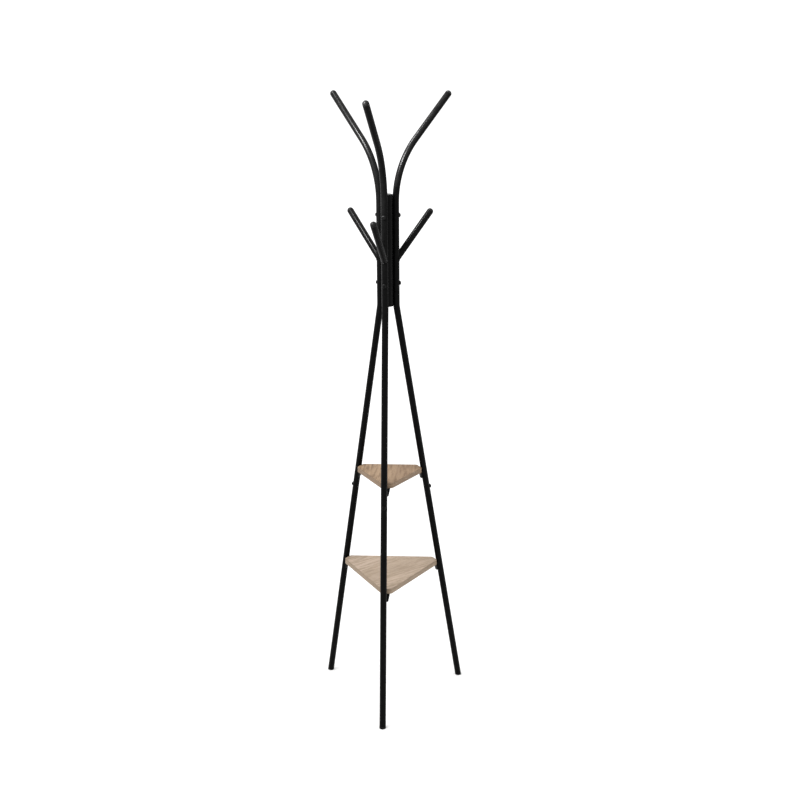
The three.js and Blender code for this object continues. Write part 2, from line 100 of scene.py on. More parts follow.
# From the post axis to a board's sharp corner, and to the face that cuts it off.
UPPER_CORNER, UPPER_CUT = 0.130, 0.1016
LOWER_CORNER, LOWER_CUT = 0.1795, 0.1539
STRIP = 0.002  # bracket thickness
STRIP_BEND = 0.0022  # bracket bend, at the middle of its thickness
STRIP_WIDTH = 0.020
STRIP_TOE = 0.013
STRIP_TOE_CORNER = 0.003
STRIP_REACH = 0.027  # from the shelf's corner face inwards
STRIP_DROP = 0.022
STRIP_WELD = 0.0046  # each weld bead to the middle of the leg

TOUCH = 0.0003  # clearance between pieces in the frame
SEAM = 0.00015  # half of the line that shows at a closed joint
EDGE = 0.0004  # softened edge
WELD = 0.0014

AROUND = 64  # points round a tube
AROUND_HEAD = 96  # points round a bolt or screw
BEND_STEP = math.radians(1.5)


# ---- places, from the frame ----------------------------------------------------------------------
def middle(node):
    low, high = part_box(node)
    return (low + high) / 2


def centroid(node):
    vertices = frame["nodes"][node].data.vertices
    return sum((vertex.co for vertex in vertices), Vector()) / len(vertices)


LEVELS = ("upper", "lower")
MOUNTS = {mount["name"]: Vector(mount["pos_m"]) for mount in frame["record"]["mounts"]}
AXIS = middle("centre_post").to_2d().to_3d()
POST_BOTTOM, POST_TOP = (corner.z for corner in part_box("centre_post"))
HUB_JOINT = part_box("hook_tube_front")[0].z - TOUCH
HOOK_TIP_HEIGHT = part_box("hook_tip_front")[1].z - TUBE


def level_direction(vector):
    return Vector((vector.x, vector.y, 0)).normalized()


class Spoke:
    """One side of the tree: its upright against the post, the way its arm points, and its slanted leg."""

    def __init__(self, side):
        self.side = side
        self.hub_out = level_direction(centroid(f"hub_bolt_upper_{side}") - AXIS)
        self.hub_across = UP.cross(self.hub_out)
        self.upright = AXIS + self.hub_out * HUB_RADIUS
        self.arm = level_direction(centroid(f"hook_tip_{side}") - self.upright)
        self.foot = MOUNTS[f"floor_rest_{side}"]
        self.outward = level_direction(self.foot - self.upright)
        self.across = UP.cross(self.outward)
        self.reach = (self.foot - self.upright).length
        leg = centroid(f"leg_nut_{side}") - self.foot
        self.leg_up = leg.normalized()
        self.leg_out = self.across.cross(self.leg_up)
        self.lean = leg.angle(UP)
        self.leg_joint = leg.length - LEG_BOLT_RISE  # distances along a leg start at the floor


class Corner:
    """The corner of a shelf at one leg, with its outward direction read from its bracket's screw."""

    def __init__(self, spoke, level):
        self.spoke = spoke
        self.outward = level_direction(centroid(f"{level}_shelf_screw_{spoke.side}") - AXIS)
        self.across = UP.cross(self.outward)

    def leg_place(self, height):
        """How far out, and how far across, the leg's axis stands at a height."""
        leg = self.spoke.foot - self.spoke.outward * height * math.tan(self.spoke.lean) - AXIS
        return leg.dot(self.outward), leg.dot(self.across)


class Shelf:
    """A triangular board with cut corners, one at each leg."""

    def __init__(self, level, corner, cut):
        low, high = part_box(f"{level}_shelf_edging")
        self.bottom, self.top = low.z, high.z
        self.corner, self.cut = corner, cut
        self.corners = [Corner(spoke, level) for spoke in SPOKES]

    def outline(self, margin, height, steps=10):
        """The rounded outline at a height, moved inwards by a margin."""
        face = self.cut - margin
        half_face = (self.corner - 2 * margin - face) * math.tan(math.pi / 6)
        radius = BOARD_CORNER - margin
        points = []
        for corner in self.corners:
            for way in (-1, 1):
                centre = (face - radius) * corner.outward
                centre += way * (half_face - radius * math.tan(math.pi / 6)) * corner.across
                for i in range(steps + 1):
                    angle = math.pi / 3 * (i / steps - (way < 0))
                    rim = math.cos(angle) * corner.outward + math.sin(angle) * corner.across
                    points.append(AXIS + centre + radius * rim + height * UP)
        return points


SPOKES = [Spoke(side) for side in ("front", "right", "left")]  # anticlockwise
SHELVES = {
    "upper": Shelf("upper", UPPER_CORNER, UPPER_CUT),
    "lower": Shelf("lower", LOWER_CORNER, LOWER_CUT),
}


# ---- materials -----------------------------------------------------------------------------------
class Shader:
    """A Principled material, with short calls for the nodes that feed it."""

    def __init__(self, name, **constants):
        self.material = bpy.data.materials.new(name)
        self.material.use_nodes = True
        self.tree = self.material.node_tree
        self.surface = self.tree.nodes["Principled BSDF"]
        self.place = self.tree.nodes.new("ShaderNodeTexCoord").outputs["Object"]
        self.wire(**constants)

    def feed(self, socket, value):
        if isinstance(value, bpy.types.NodeSocket):
            self.tree.links.new(value, socket)
        else:
            socket.default_value = value

    def wire(self, **sockets):
        for name, value in sockets.items():
            self.feed(self.surface.inputs[name.replace("_", " ")], value)
        return self.material

    def node(self, kind, settings, **inputs):
        node = self.tree.nodes.new(kind)
        for name, value in settings.items():
            setattr(node, name, value)
        for name, value in inputs.items():
            self.feed(node.inputs[name.replace("_", " ")], value)
        return node

    def stretched(self, scale, turn=0.0, vector=None):
        """Coordinates turned about +Z, then stretched."""
        turned = self.node("ShaderNodeMapping", {}, Vector=vector or self.place, Rotation=(0, 0, turn))
        return self.node("ShaderNodeMapping", {}, Vector=turned.outputs[0], Scale=scale).outputs[0]

    def noise(self, vector, scale=1.0, detail=2.0, roughness=0.5, distortion=0.0):
        settings = {"Scale": scale, "Detail": detail, "Roughness": roughness, "Distortion": distortion}
        return self.node("ShaderNodeTexNoise", {}, Vector=vector, **settings).outputs[0]

    def ramp(self, value, low, high, to_low=0.0, to_high=1.0):
        limits = {"From_Min": low, "From_Max": high, "To_Min": to_low, "To_Max": to_high}
        return self.node("ShaderNodeMapRange", {}, Value=value, **limits).outputs[0]

    def mix(self, share, first, second):
        node = self.node("ShaderNodeMix", {"data_type": "RGBA"})
        for socket, value in zip((node.inputs[0], node.inputs[6], node.inputs[7]), (share, first, second)):
            self.feed(socket, value)
        return node.outputs[2]

    def maths(self, operation, first, second):
        node = self.node("ShaderNodeMath", {"operation": operation})
        self.feed(node.inputs[0], first)
        self.feed(node.inputs[1], second)
        return node.outputs[0]

    def bump(self, height, distance, normal=None):
        node = self.node("ShaderNodeBump", {}, Height=height, Distance=distance, Strength=1.0)
        if normal:
            self.feed(node.inputs["Normal"], normal)
        return node.outputs[0]


def grey(level):
    return (level, level, level, 1.0)


def powder_coat(name, dark, light):
    """Satin black powder coat: orange peel, mottling, and a little dust where a surface faces up."""
    shader = Shader(name, Specular_IOR_Level=0.035)
    mottle = shader.noise(shader.place, 70.0, 4.0, 0.6)
    peel = shader.noise(shader.place, 500.0)
    speck = shader.noise(shader.place, 1500.0, 1.0)
    normal = shader.node("ShaderNodeNewGeometry", {}).outputs["Normal"]
    facing_up = shader.node("ShaderNodeSeparateXYZ", {}, Vector=normal).outputs[2]
    dust = shader.maths("MULTIPLY", shader.ramp(facing_up, 0.5, 1.0, 0.0, 0.3), mottle)
    tone = shader.mix(shader.ramp(mottle, 0.3, 0.7), grey(dark), grey(light))
    return shader.wire(
        Base_Color=shader.mix(dust, tone, (0.012, 0.011, 0.010, 1.0)),
        Roughness=shader.ramp(shader.maths("ADD", mottle, peel), 0.6, 1.4, 0.24, 0.3),
        Normal=shader.bump(speck, 0.000003, shader.bump(peel, 0.000008)),
    )


def moulded_plastic(name):
    """Black polythene with a fine moulded grain."""
    shader = Shader(name, Specular_IOR_Level=0.08)
    grain = shader.noise(shader.place, 1800.0, 3.0, 0.6)
    patch = shader.noise(shader.place, 140.0)
    return shader.wire(
        Base_Color=shader.mix(patch, grey(0.003), grey(0.007)),
        Roughness=shader.ramp(shader.maths("ADD", patch, grain), 0.6, 1.4, 0.34, 0.5),
        Normal=shader.bump(grain, 0.00002),
    )


def plated_steel(name, dark, light, metallic, low_rough, high_rough):
    """Plated or blackened steel with rubbed patches and faint turning lines."""
    shader = Shader(name, Metallic=metallic, Specular_IOR_Level=0.05)
    patch = shader.noise(shader.place, 350.0, 4.0, 0.6)
    lines = shader.noise(shader.stretched((400.0, 400.0, 5200.0)))
    return shader.wire(
        Base_Color=shader.mix(shader.ramp(patch, 0.35, 0.65), dark, light),
        Roughness=shader.ramp(patch, 0.3, 0.7, low_rough, high_rough),
        Normal=shader.bump(lines, 0.00001),
    )


def oak_face(name, tones, turn, band_width, dark_band, shares):
    """A board face in oak: broad bands, a darker band across the grain, streaks, arched growth lines,
    fibres and pores.

    The dark band is a place across the grain and a reach to each side. On the upper board it is painted
    shade that darkens the board towards its right side. The shares are those of the dark tone in the
    arches, the streaks and the dark band.
    """
    pale, mid, dark = tones
    dark_band_place, dark_band_reach = dark_band
    arch_share, streak_share, dark_band_share = shares
    shader = Shader(name, Specular_IOR_Level=0.2)
    drift = shader.noise(shader.stretched((5.0, 16.0, 5.0), turn))
    moved = shader.node("ShaderNodeVectorMath", {"operation": "MULTIPLY_ADD"})
    for socket, value in zip(moved.inputs, (drift, (0.004, 0.012, 0.0), shader.place)):
        shader.feed(socket, value)
    wood = moved.outputs[0]
    bands = shader.noise(shader.stretched((6.0, 1 / band_width, 10.0), turn, wood), 1.0, 3.0, 0.55, 0.6)
    streaks = shader.noise(shader.stretched((18.0, 130.0, 60.0), turn, wood), 1.0, 6.0, 0.7)
    fibres = shader.noise(shader.stretched((40.0, 1500.0, 300.0), turn, wood), 1.0, 3.0, 0.6)
    pores = shader.noise(shader.stretched((95.0, 1150.0, 300.0), turn, wood), 1.0, 1.0, 0.4)
    arches = shader.node(
        "ShaderNodeTexWave",
        {"bands_direction": "Y", "wave_profile": "SAW"},
        Vector=shader.stretched((7.0, 34.0, 10.0), turn, wood),
        Scale=0.75,
        Distortion=5.5,
        Detail=3.0,
        Detail_Scale=0.7,
    ).outputs[1]
    turned_wood = shader.stretched((1, 1, 1), turn, wood)
    across = shader.node("ShaderNodeSeparateXYZ", {}, Vector=turned_wood).outputs[1]
    off_dark_band = shader.maths("ABSOLUTE", shader.maths("SUBTRACT", across, dark_band_place), 0.0)
    tone = shader.mix(shader.ramp(bands, 0.36, 0.64), pale, mid)
    # Darkens the tone near a place across the grain: painted shade on the upper board's right side, a plain
    # darker band on the lower board.
    tone = shader.mix(shader.ramp(off_dark_band, 0.6 * dark_band_reach, dark_band_reach, dark_band_share, 0.0), tone, dark)
    tone = shader.mix(shader.ramp(arches, 0.0, 1.0, 0.0, arch_share), tone, dark)
    tone = shader.mix(shader.ramp(streaks, 0.46, 0.6, 0.0, streak_share), tone, dark)
    tone = shader.mix(shader.ramp(fibres, 0.35, 0.7, 0.0, 0.22), tone, pale)
    tone = shader.mix(shader.ramp(pores, 0.62, 0.72, 0.0, 0.5), tone, (*(0.55 * c for c in dark[:3]), 1.0))
    relief = shader.maths("SUBTRACT", fibres, shader.ramp(pores, 0.6, 0.72, 0.0, 0.8))
    return shader.wire(
        Base_Color=tone,
        Roughness=shader.ramp(streaks, 0.3, 0.7, 0.5, 0.66),
        Normal=shader.bump(relief, 0.00004),
    )


def oak_strip(name, pale, dark):
    """Edging with its grain along the strip."""
    shader = Shader(name, Specular_IOR_Level=0.2)
    streaks = shader.noise(shader.stretched((16.0, 16.0, 900.0)), 1.0, 4.0, 0.65)
    fibres = shader.noise(shader.stretched((60.0, 60.0, 3800.0)), 1.0, 2.0, 0.6)
    tone = shader.mix(shader.ramp(streaks, 0.35, 0.68), pale, dark)
    return shader.wire(
        Base_Color=shader.mix(shader.ramp(fibres, 0.4, 0.7, 0.0, 0.25), tone, pale),
        Roughness=shader.ramp(streaks, 0.3, 0.7, 0.5, 0.65),
        Normal=shader.bump(fibres, 0.00003),
    )


UPPER_TONES = ((0.42, 0.288, 0.178, 1.0), (0.34, 0.227, 0.137, 1.0), (0.17, 0.104, 0.06, 1.0))
LOWER_TONES = ((0.52, 0.405, 0.318, 1.0), (0.43, 0.33, 0.242, 1.0), (0.25, 0.188, 0.127, 1.0))
# Painted shade: a darker band over the upper board's right side, as a place across the grain and a reach.
UPPER_PAINTED_SHADE = (-0.07, 0.08)
# A darker band across the lower board's grain, as a place across the grain and a reach.
LOWER_DARK_BAND = (0.015, 0.045)
MATERIALS = {
    "powder_coat": powder_coat("powder_coat", 0.0014, 0.003),
    "bracket_black": powder_coat("bracket_black", 0.0014, 0.003),
    "black_plastic": moulded_plastic("black_plastic"),
    "black_fastener": plated_steel("black_fastener", grey(0.002), grey(0.005), 0.0, 0.3, 0.4),
    "zinc_steel": plated_steel("zinc_steel", grey(0.42), grey(0.6), 1.0, 0.25, 0.4),
    "upper_oak": oak_face("upper_oak", UPPER_TONES, math.radians(-91), 0.033, UPPER_PAINTED_SHADE, (0.3, 0.9, 0.4)),
    "lower_oak": oak_face("lower_oak", LOWER_TONES, math.radians(-42), 0.042, LOWER_DARK_BAND, (0.3, 0.75, 0.3)),
    "upper_edging": oak_strip("upper_edging", (0.24, 0.166, 0.11, 1.0), (0.11, 0.074, 0.047, 1.0)),
    "lower_edging": oak_strip("lower_edging", (0.29, 0.22, 0.156, 1.0), (0.14, 0.103, 0.07, 1.0)),
}


# ---- mesh helpers --------------------------------------------------------------------------------
def make_piece(name, shells, slot, *nodes, sharp=35):
    """An object of closed shells that rides on the frame and stands for its CAD nodes."""
    mesh = bpy.data.meshes.new(name)
    vertices, faces = [], []
    for points, corners in shells:
        faces += [[len(vertices) + i for i in face] for face in corners]
        vertices += points
    mesh.from_pydata(vertices, [], faces)
    shape = bmesh.new()
    shape.from_mesh(mesh)
    bmesh.ops.recalc_face_normals(shape, faces=shape.faces)
    shape.to_mesh(mesh)
    shape.free()
    mesh.shade_smooth()
    mesh.set_sharp_from_angle(angle=math.radians(sharp))
    mesh.materials.append(MATERIALS[slot])
    piece = bpy.data.objects.new(name, mesh)
    bpy.context.scene.collection.objects.link(piece)
    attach(piece, "root")
    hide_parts(*nodes)
    return piece


def loft(rings, looped=False):
    """A shell through rings of points.

    A ring of one point closes an end, a looped loft joins its last ring to its first, and any other
    end is closed by one face.
    """
    points, starts = [], []
    for ring_points in rings:
        starts.append(len(points))
        points += ring_points
    faces = []
    pairs = list(zip(range(len(rings)), range(1, len(rings))))
    if looped:
        pairs.append((len(rings) - 1, 0))
    for low, high in pairs:
        count = max(len(rings[low]), len(rings[high]))
        for i in range(count):
            a, b = (starts[low] + k % len(rings[low]) for k in (i, i + 1))
            d, c = (starts[high] + k % len(rings[high]) for k in (i, i + 1))
            faces.append(list(dict.fromkeys((a, b, c, d))))
    if not looped:
        for ring_points, start in ((rings[0], starts[0]), (rings[-1], starts[-1])):
            if len(ring_points) > 1:
                faces.append([start + i for i in range(len(ring_points))])
    return points, faces


class Line:
    """A straight centreline."""

    def __init__(self, start, heading, across):
        self.start = start
        self.heading = heading.normalized()
        self.across = across.normalized()

    def at(self, distance):
        return self.start + self.heading * distance, self.heading

    def bend_rings(self, low, high):
        return []


class BentLine:
    """A centreline in an upright plane: a vertical run, one bend outwards and a straight run."""

    def __init__(self, start, vertical, outward, first_run, radius, turn):
        self.start, self.vertical, self.outward = start, vertical, outward
        self.first_run, self.radius, self.turn = first_run, radius, turn
        self.across = vertical.cross(outward).normalized()
        self.bend_end = first_run + radius * turn

    def at(self, distance):
        turn = min(max(distance - self.first_run, 0) / self.radius, self.turn)
        heading = self.outward * math.sin(turn) + self.vertical * math.cos(turn)
        point = self.start + self.vertical * (min(distance, self.first_run) + self.radius * math.sin(turn))
        point += self.outward * self.radius * (1 - math.cos(turn))
        return point + heading * max(distance - self.bend_end, 0), heading

    def bend_rings(self, low, high):
        """Distances on the bend, between two others and in their order."""
        steps = math.ceil(self.turn / BEND_STEP)
        places = [self.first_run + self.radius * self.turn * i / steps for i in range(steps + 1)]
        inside = [place for place in places if min(low, high) < place < max(low, high)]
        return inside if low < high else inside[::-1]


def ring(line, distance, radius, count=AROUND):
    """Points round a centreline; radius is a number, or a function of the angle for a socket."""
    point, heading = line.at(distance)
    if radius == 0:
        return [point]
    second = heading.cross(line.across)
    points = []
    for i in range(count):
        angle = 2 * math.pi * i / count
        reach = radius(angle) if callable(radius) else radius
        points.append(point + reach * (math.cos(angle) * line.across + math.sin(angle) * second))
    return points


def round_shell(line, profile, looped=False, count=AROUND):
    """A shell round a centreline from (distance, radius) points: a loop for a tube, or from axis to axis."""
    rings = []
    for i, (distance, radius) in enumerate(profile):
        rings.append(ring(line, distance, radius, count))
        following = profile[(i + 1) % len(profile)][0]
        if looped or i + 1 < len(profile):
            rings += [ring(line, place, radius, count) for place in line.bend_rings(distance, following)]
    return loft(rings, looped)


def quarter(distance, radius, size, first, last, steps=3):
    """Profile points of a rounded edge; 0 degrees is outwards and 90 is towards the far end."""
    angles = (math.radians(first + (last - first) * i / steps) for i in range(steps + 1))
    return [(distance + size * math.sin(angle), radius + size * math.cos(angle)) for angle in angles]


def tube_wall(start, end, radius=TUBE):
    """Profile of a tube's outer surface with softened edges."""
    first_edge = quarter(start + EDGE, radius - EDGE, EDGE, -90, 0)
    return first_edge + quarter(end - EDGE, radius - EDGE, EDGE, 0, 90)


def bead(places, looped, size=WELD, ripple=0.0019, count=10):
    """A weld bead through (point, outward direction) places, with the ripples of its separate pools."""
    rings = []
    travelled = 0.0
    for i, (point, outward) in enumerate(places):
        before = places[i - 1][0] if looped or i else point
        after = places[(i + 1) % len(places)][0] if looped or i + 1 < len(places) else point
        along = (after - before).normalized()
        travelled += (point - places[i - 1][0]).length if i else 0.0
        pool = 1 + 0.13 * abs(math.sin(math.pi * travelled / ripple)) + 0.06 * math.sin(travelled * 900 + i)
        taper = 1.0 if looped else min(1.0, 0.35 + min(i, len(places) - 1 - i) * 0.3)
        side = along.cross(outward).normalized()
        reach = size * pool * taper
        turns = (2 * math.pi * k / count for k in range(count))
        rings.append([point + reach * (math.cos(t) * outward + math.sin(t) * side) for t in turns])
    return loft(rings, looped)


# ---- centre post ---------------------------------------------------------------------------------
def build_post():
    line = Line(AXIS, UP, Vector((1, 0, 0)))
    wall = tube_wall(POST_BOTTOM, POST_TOP, POST) + [(POST_TOP, POST_BORE), (POST_BOTTOM, POST_BORE)]
    make_piece("post", [round_shell(line, wall, looped=True)], "powder_coat", "centre_post")
    for end, height, outward in (("top", POST_TOP, UP), ("bottom", POST_BOTTOM, -UP)):
        plug = POST_BORE - TOUCH
        inner = plug - CAP_WALL
        hollow = [(TOUCH, 0), (TOUCH, inner), (-CAP_DEPTH, inner), (-CAP_DEPTH, plug)]
        rim = [(SEAM, plug), (SEAM, POST - EDGE), (SEAM + EDGE, POST)]
        rim += quarter(CAP_RIM - 0.0014, POST - 0.001, 0.001, 0, 80)
        crown = [(CAP_RIM - 0.0004 * share * share, POST * share) for share in (0.75, 0.5, 0.25, 0)]
        cap = Line(AXIS + height * UP, outward, Vector((1, 0, 0)))
        shell = round_shell(cap, hollow + rim + crown)
        make_piece(f"post_end_{end}", [shell], "black_plastic", f"post_cap_{end}")


# ---- arms ----------------------------------------------------------------------------------------
def rounded_plug(name, line, tube_end, node):
    """A domed plastic plug in a tube's free end."""
    shank = BORE - TOUCH
    inside = [(-PLUG_SHANK, 0), (-PLUG_SHANK, shank - 0.0006), (0.0006 - PLUG_SHANK, shank), (SEAM, shank)]
    dome = [(SEAM, TUBE - SEAM)] + quarter(0, 0, TUBE, 3, 87, steps=14) + [(TUBE, 0)]
    start, heading = line.at(tube_end)
    plug = Line(start, heading, line.across)
    make_piece(name, [round_shell(plug, inside + dome)], "black_plastic", node)


def build_hook(spoke):
    first_run = HOOK_BEND_START - HUB_JOINT
    base = spoke.upright + HUB_JOINT * UP
    line = BentLine(base, UP, spoke.arm, first_run, HOOK_BEND_RADIUS, HOOK_LEAN)
    bend_top, _ = line.at(line.bend_end)
    length = line.bend_end + (HOOK_TIP_HEIGHT - bend_top.z) / math.cos(HOOK_LEAN)
    wall = tube_wall(SEAM, length - SEAM) + [(length - SEAM, BORE), (SEAM, BORE)]
    side = spoke.side
    make_piece(f"hook_{side}", [round_shell(line, wall, looped=True)], "powder_coat", f"hook_tube_{side}")
    rounded_plug(f"hook_end_{side}", line, length, f"hook_tip_{side}")


def build_peg(spoke):
    """The peg, coped to the upright and welded round."""
    heading = spoke.arm * math.sin(PEG_LEAN) + UP * math.cos(PEG_LEAN)
    line = Line(spoke.upright + PEG_BASE_HEIGHT * UP, heading, UP.cross(spoke.arm))
    second = heading.cross(line.across)

    def on_upright(radius, angle):
        """The point where the peg's surface meets the upright's."""
        depth = math.sqrt((TUBE + SEAM) ** 2 - (radius * math.cos(angle)) ** 2)
        distance = (depth + radius * math.sin(angle) * math.cos(PEG_LEAN)) / math.sin(PEG_LEAN)
        rim = math.cos(angle) * line.across + math.sin(angle) * second
        return line.start + heading * distance + radius * rim, rim

    def coped(radius):
        return [on_upright(radius, 2 * math.pi * i / AROUND)[0] for i in range(AROUND)]

    end = PEG_LENGTH - SEAM
    end_edge = quarter(end - EDGE, TUBE - EDGE, EDGE, 0, 90)
    rings = [coped(TUBE)] + [ring(line, distance, radius) for distance, radius in end_edge]
    rings += [ring(line, end, BORE), coped(BORE)]
    weld = []
    for i in range(3 * AROUND):
        point, rim = on_upright(TUBE, 2 * math.pi * i / (3 * AROUND))
        from_axis = (point - line.start).to_2d().to_3d().normalized()
        weld.append((point, (rim + from_axis).normalized()))
    side = spoke.side
    shells = [loft(rings, looped=True), bead(weld, looped=True)]
    make_piece(f"peg_arm_{side}", shells, "powder_coat", f"peg_{side}")
    rounded_plug(f"peg_end_{side}", line, PEG_LENGTH, f"peg_tip_{side}")


# ---- legs ----------------------------------------------------------------------------------------
def drawn_end(shoulder, way):
    """Profile from a leg's shoulder out along its drawn-down end and back into its bore."""
    tip = shoulder + way * STUB_LENGTH
    outside = [(shoulder, STUB), (tip - way * 0.002, STUB), (tip, STUB - 0.0006)]
    root = [(shoulder - way * 0.001, STUB_BORE), (shoulder - way * STUB_ROOT, BORE)]
    return outside + [(tip, STUB_BORE)] + root


def build_leg(spoke):
    side = spoke.side
    bend_height = spoke.reach / math.tan(spoke.lean)
    tangent = LEG_BEND_RADIUS * math.tan(spoke.lean / 2)
    first_run = HUB_JOINT - bend_height - tangent
    top = spoke.upright + HUB_JOINT * UP
    line = BentLine(top, -UP, spoke.outward, first_run, LEG_BEND_RADIUS, spoke.lean)
    end = line.bend_end + bend_height / math.cos(spoke.lean) - tangent - spoke.leg_joint - SEAM
    wall = tube_wall(SEAM, end) + [(end, BORE)] + drawn_end(SEAM, -1)[::-1]
    make_piece(f"leg_top_{side}", [round_shell(line, wall, looped=True)], "powder_coat", f"upper_leg_{side}")

    leg = Line(spoke.foot, spoke.leg_up, spoke.across)
    start, joint = FOOT_RIM + SEAM, spoke.leg_joint - SEAM
    wall = tube_wall(start, joint) + drawn_end(joint, 1) + [(start, BORE)]
    shell = round_shell(leg, wall, looped=True)
    make_piece(f"leg_bottom_{side}", [shell], "powder_coat", f"lower_leg_{side}")

    seat, _ = leg.at(spoke.leg_joint + LEG_BOLT_RISE)
    seat += spoke.leg_out * (TUBE + SEAM)
    bolt_line = Line(seat, spoke.leg_out, spoke.across)
    bolt(f"leg_lock_bolt_{side}", bolt_line, LEG_BOLT_LENGTH, f"leg_bolt_{side}")
    nut = frame["nodes"][f"leg_nut_{side}"]
    nut.data.materials.clear()
    nut.data.materials.append(MATERIALS["zinc_steel"])


def build_foot(spoke):
    """A plastic foot cut level with the floor, with a shallow recess under it."""
    leg = Line(spoke.foot, spoke.leg_up, spoke.across)
    second = spoke.leg_up.cross(spoke.across)

    def level_ring(radius, height):
        """Where a cylinder about the leg crosses a height."""
        points = []
        for i in range(AROUND):
            angle = 2 * math.pi * i / AROUND
            rim = radius * (math.cos(angle) * spoke.across + math.sin(angle) * second)
            points.append(spoke.foot + rim + spoke.leg_up * (height - rim.z) / spoke.leg_up.z)
        return points

    recess = [[spoke.foot + 0.0008 * UP], level_ring(TUBE - 0.0025, 0.0008), level_ring(TUBE - 0.0021, 0)]
    sole = [level_ring(TUBE - 0.0007, 0), level_ring(TUBE - 0.0002, 0.0002), level_ring(TUBE, 0.0007)]
    shank, top = BORE - TOUCH, FOOT_RIM + FOOT_SHANK
    rim = quarter(FOOT_RIM - SEAM - EDGE, TUBE - EDGE, EDGE, 0, 90) + [(FOOT_RIM - SEAM, shank)]
    rim += [(top - 0.001, shank), (top, shank - 0.001), (top, 0)]
    rings = recess + sole + [ring(leg, distance, radius) for distance, radius in rim]
    make_piece(f"foot_pad_{spoke.side}", [loft(rings)], "black_plastic", f"foot_{spoke.side}")


# ---- fasteners -----------------------------------------------------------------------------------
def hexagon(half_width):
    """The radius of a hexagon at an angle."""
    return lambda angle: half_width / math.cos((angle + math.pi / 6) % (math.pi / 3) - math.pi / 6)


def cross_slot(arm, half_width):
    """The radius of a cross recess at an angle."""

    def reach(angle):
        turn = abs((angle + math.pi / 4) % (math.pi / 2) - math.pi / 4)
        return min(arm / math.cos(turn), half_width / max(math.sin(turn), 1e-6))

    return reach


def domed_head(radius, height, flat):
    """Profile of a fastener's head from its underside to the flat round its recess."""
    angles = [math.acos(flat / radius) * i / 8 for i in range(9)]
    side = 0.18 * height
    rise = (height - side) / math.sin(angles[-1])
    dome = [(side + rise * math.sin(angle), radius * math.cos(angle)) for angle in angles]
    return [(0, radius - 0.0003), (0.0002, radius - 0.0001)] + dome


def bolt(name, line, length, node):
    """A button-head bolt with a hexagon socket."""
    shank = [(-length, 0), (-length, BOLT_SHANK - 0.0006), (0.001 - length, BOLT_SHANK), (0, BOLT_SHANK)]
    head = domed_head(BOLT_HEAD, BOLT_HEAD_HEIGHT, BOLT_FLAT)
    top = BOLT_HEAD_HEIGHT
    wall = hexagon(BOLT_SOCKET)
    socket = [(top - 0.0001, hexagon(BOLT_SOCKET + 0.00015)), (top - 0.0004, wall)]
    socket += [(top - SOCKET_DEPTH + 0.0005, wall), (top - SOCKET_DEPTH, 0)]
    profile = shank + head + socket
    make_piece(name, [round_shell(line, profile, count=AROUND_HEAD)], "black_fastener", node)


def shelf_screw(name, line, node):
    """A pan-head wood screw with a cross recess."""
    shank = [(-SCREW_LENGTH, 0), (SCREW_POINT - SCREW_LENGTH, SCREW_SHANK), (0, SCREW_SHANK)]
    head = domed_head(SCREW_HEAD, SCREW_HEAD_HEIGHT, SCREW_FLAT)
    top = SCREW_HEAD_HEIGHT
    recess = [(top - 0.00005, cross_slot(0.0021, 0.0006)), (top - 0.0009, cross_slot(0.0014, 0.0004))]
    profile = shank + head + recess + [(top - 0.0013, 0)]
    make_piece(name, [round_shell(line, profile, count=AROUND_HEAD)], "black_fastener", node)


def build_hub_fasteners(spoke):
    side = spoke.side
    for level in LEVELS:
        height = middle(f"hub_bolt_{level}_{side}").z * UP
        seat = spoke.upright + spoke.hub_out * (TUBE + SEAM) + height
        line = Line(seat, spoke.hub_out, spoke.hub_across)
        bolt(f"hub_screw_{level}_{side}", line, HUB_BOLT_LENGTH, f"hub_bolt_{level}_{side}")
        insert = Line(AXIS + spoke.hub_out * INSERT_SEAT + height, spoke.hub_out, spoke.hub_across)
        collar_end = -INSERT_COLLAR_DEPTH - (INSERT_COLLAR - INSERT_BODY)
        profile = [(-INSERT_LENGTH, INSERT_BORE), (-INSERT_LENGTH, INSERT_BODY), (collar_end, INSERT_BODY)]
        profile += quarter(-INSERT_COLLAR_DEPTH - 0.0008, INSERT_COLLAR - 0.0008, 0.0008, -60, 80)
        profile += [(-INSERT_COLLAR_DEPTH, INSERT_BODY), (-0.0003, INSERT_BODY), (0, INSERT_BODY - 0.0003)]
        profile += [(0, INSERT_BORE)]
        shell = round_shell(insert, profile, looped=True)
        make_piece(f"insert_{level}_{side}", [shell], "zinc_steel", f"hub_insert_{level}_{side}")


# ---- shelves -------------------------------------------------------------------------------------
def build_shelf(shelf, level):
    inner = EDGING + SEAM / 2
    board = loft([shelf.outline(inner, shelf.bottom), shelf.outline(inner, shelf.top)])
    make_piece(f"{level}_board", [board], f"{level}_oak", f"{level}_shelf")
    corner = EDGE * (1 - math.sqrt(0.5))
    section = [
        (EDGE, shelf.bottom),
        (corner, shelf.bottom + corner),
        (0, shelf.bottom + EDGE),
        (0, shelf.top - EDGE),
        (corner, shelf.top - corner),
        (EDGE, shelf.top),
        (EDGING, shelf.top),
        (EDGING, shelf.bottom),
    ]
    strip = loft([shelf.outline(margin, height) for margin, height in section], looped=True)
    make_piece(f"{level}_edge_strip", [strip], f"{level}_edging", f"{level}_shelf_edging")


def strip_section(centre, across, normal, half_width):
    """A rounded rectangle across a bracket."""
    points = []
    for way_across, way_normal, first in ((1, 1, 0), (-1, 1, 90), (-1, -1, 180), (1, -1, 270)):
        corner = centre + way_across * (half_width - EDGE) * across + way_normal * (STRIP / 2 - EDGE) * normal
        for angle in (first, first + 45, first + 90):
            turn = math.radians(angle)
            points.append(corner + EDGE * (math.cos(turn) * across + math.sin(turn) * normal))
    return points


